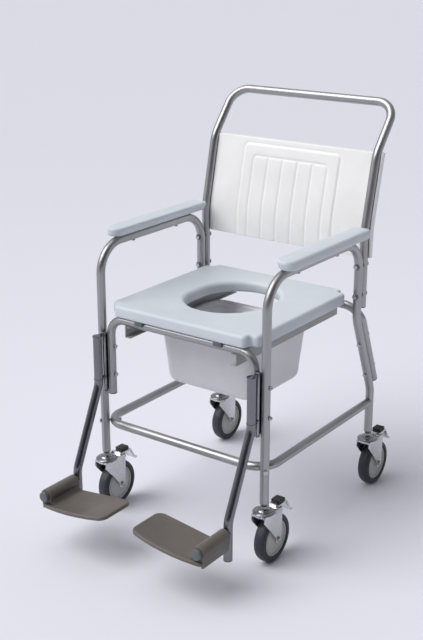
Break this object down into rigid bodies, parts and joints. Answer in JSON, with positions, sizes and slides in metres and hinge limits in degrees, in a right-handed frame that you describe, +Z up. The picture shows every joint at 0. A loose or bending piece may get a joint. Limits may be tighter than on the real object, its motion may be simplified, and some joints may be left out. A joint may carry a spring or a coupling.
{
  "type": "commode chair",
  "caption": "Wheeled shower and commode chair of bent aluminium tube with arms, push handle, sliding pan, swing-away footrests and braked castors.",
  "frame": {"origin": "middle of the chair's footprint on the floor", "axes": "+Z up, the chair faces -Y, +X towards the chair's right-hand side as seen from its front"},
  "size_m": [0.564, 0.8915, 1.0682],
  "materials": {
    "tube_aluminium": "satin anodised",
    "chrome_steel": "bright chrome plate",
    "fork_steel": "zinc plated pressed steel",
    "fastener_steel": "plated",
    "pad_vinyl": "moulded soft vinyl with a fine grain",
    "panel_vinyl": "smooth vinyl",
    "pan_plastic": "moulded polypropylene",
    "runner_plastic": "extruded",
    "footplate_plastic": "moulded, fine grain",
    "dark_plastic": "moulded",
    "tyre_rubber": "smooth grey rubber",
    "rim_plastic": "moulded nylon",
    "insert_rubber": "ribbed"
  },
  "bodies": {
    "frame": {"left_side_frame": "tube_aluminium", "right_side_frame": "tube_aluminium", "back_frame": "tube_aluminium", "front_hoop": "tube_aluminium", "rear_hoop": "tube_aluminium", "lower_brace": "tube_aluminium", "back_panel": "panel_vinyl", "left_arm_pad": "pad_vinyl", "right_arm_pad": "pad_vinyl", "arm_pad_screws": "fastener_steel", "back_saddles": "dark_plastic", "back_frame_bolts": "fastener_steel", "front_hoop_bolts": "fastener_steel", "rear_hoop_bolts": "fastener_steel", "brace_bolts": "fastener_steel", "tube_end_plugs": "dark_plastic", "left_pan_runner": "runner_plastic", "right_pan_runner": "runner_plastic", "runner_screws": "fastener_steel", "left_hinge_bracket": "chrome_steel", "right_hinge_bracket": "chrome_steel", "castor_stems": "chrome_steel"},
    "seat": {"seat": "pad_vinyl", "seat_clips": "dark_plastic"},
    "pan": {"commode_pan": "pan_plastic"},
    "left_hanger": {"left_hanger_tube": "chrome_steel", "left_hinge_pin": "chrome_steel", "left_hanger_plug": "dark_plastic", "left_axle_cap": "dark_plastic"},
    "left_footplate": {"left_footplate": "footplate_plastic"},
    "right_hanger": {"right_hanger_tube": "chrome_steel", "right_hinge_pin": "chrome_steel", "right_hanger_plug": "dark_plastic", "right_axle_cap": "dark_plastic"},
    "right_footplate": {"right_footplate": "footplate_plastic"},
    "front_left_castor": {"front_left_fork": "fork_steel", "front_left_axle": "fastener_steel"},
    "front_left_wheel": {"front_left_tyre": "tyre_rubber", "front_left_rim": "rim_plastic"},
    "front_left_brake": {"front_left_brake_pedal": "fork_steel", "front_left_pedal_insert": "insert_rubber"},
    "front_right_castor": {"front_right_fork": "fork_steel", "front_right_axle": "fastener_steel"},
    "front_right_wheel": {"front_right_tyre": "tyre_rubber", "front_right_rim": "rim_plastic"},
    "front_right_brake": {"front_right_brake_pedal": "fork_steel", "front_right_pedal_insert": "insert_rubber"},
    "rear_left_castor": {"rear_left_fork": "fork_steel", "rear_left_axle": "fastener_steel"},
    "rear_left_wheel": {"rear_left_tyre": "tyre_rubber", "rear_left_rim": "rim_plastic"},
    "rear_left_brake": {"rear_left_brake_pedal": "fork_steel", "rear_left_pedal_insert": "insert_rubber"},
    "rear_right_castor": {"rear_right_fork": "fork_steel", "rear_right_axle": "fastener_steel"},
    "rear_right_wheel": {"rear_right_tyre": "tyre_rubber", "rear_right_rim": "rim_plastic"},
    "rear_right_brake": {"rear_right_brake_pedal": "fork_steel", "rear_right_pedal_insert": "insert_rubber"}
  },
  "joints": [
    {"name": "seat_lift", "type": "hinge", "parent": "frame", "child": "seat", "pos_m": [0, 0.25973, 0.5486], "axis": [-1, 0, 0], "range_deg": [0, 75]},
    {"name": "pan_slide", "type": "slide", "parent": "frame", "child": "pan", "axis": [0, 1, 0], "range_m": [0, 0.36]},
    {"name": "left_hanger_swing", "type": "hinge", "parent": "frame", "child": "left_hanger", "pos_m": [-0.2355, -0.19124, 0.4], "axis": [0, 0, -1], "range_deg": [0, 68]},
    {"name": "left_footplate_flip", "type": "hinge", "parent": "left_hanger", "child": "left_footplate", "pos_m": [-0.2355, -0.37234, 0.145], "axis": [0, -1, 0], "range_deg": [0, 78]},
    {"name": "right_hanger_swing", "type": "hinge", "parent": "frame", "child": "right_hanger", "pos_m": [0.2355, -0.19124, 0.4], "axis": [0, 0, 1], "range_deg": [0, 68]},
    {"name": "right_footplate_flip", "type": "hinge", "parent": "right_hanger", "child": "right_footplate", "pos_m": [0.2355, -0.37234, 0.145], "axis": [0, 1, 0], "range_deg": [0, 78]},
    {"name": "front_left_swivel", "type": "hinge", "parent": "frame", "child": "front_left_castor", "pos_m": [-0.25, -0.17924, 0.14], "axis": [0, 0, 1], "continuous": true},
    {"name": "front_left_spin", "type": "hinge", "parent": "front_left_castor", "child": "front_left_wheel", "pos_m": [-0.25, -0.14224, 0.0625], "axis": [1, 0, 0], "continuous": true},
    {"name": "front_left_brake_press", "type": "hinge", "parent": "front_left_castor", "child": "front_left_brake", "pos_m": [-0.25, -0.13524, 0.137], "axis": [-1, 0, 0], "range_deg": [0, 9]},
    {"name": "front_right_swivel", "type": "hinge", "parent": "frame", "child": "front_right_castor", "pos_m": [0.25, -0.17924, 0.14], "axis": [0, 0, 1], "continuous": true},
    {"name": "front_right_spin", "type": "hinge", "parent": "front_right_castor", "child": "front_right_wheel", "pos_m": [0.25, -0.14224, 0.0625], "axis": [1, 0, 0], "continuous": true},
    {"name": "front_right_brake_press", "type": "hinge", "parent": "front_right_castor", "child": "front_right_brake", "pos_m": [0.25, -0.13524, 0.137], "axis": [-1, 0, 0], "range_deg": [0, 9]},
    {"name": "rear_left_swivel", "type": "hinge", "parent": "frame", "child": "rear_left_castor", "pos_m": [-0.25, 0.33776, 0.14], "axis": [0, 0, 1], "continuous": true},
    {"name": "rear_left_spin", "type": "hinge", "parent": "rear_left_castor", "child": "rear_left_wheel", "pos_m": [-0.25, 0.37476, 0.0625], "axis": [1, 0, 0], "continuous": true},
    {"name": "rear_left_brake_press", "type": "hinge", "parent": "rear_left_castor", "child": "rear_left_brake", "pos_m": [-0.25, 0.38176, 0.137], "axis": [-1, 0, 0], "range_deg": [0, 9]},
    {"name": "rear_right_swivel", "type": "hinge", "parent": "frame", "child": "rear_right_castor", "pos_m": [0.25, 0.33776, 0.14], "axis": [0, 0, 1], "continuous": true},
    {"name": "rear_right_spin", "type": "hinge", "parent": "rear_right_castor", "child": "rear_right_wheel", "pos_m": [0.25, 0.37476, 0.0625], "axis": [1, 0, 0], "continuous": true},
    {"name": "rear_right_brake_press", "type": "hinge", "parent": "rear_right_castor", "child": "rear_right_brake", "pos_m": [0.25, 0.38176, 0.137], "axis": [-1, 0, 0], "range_deg": [0, 9]}
  ]
}
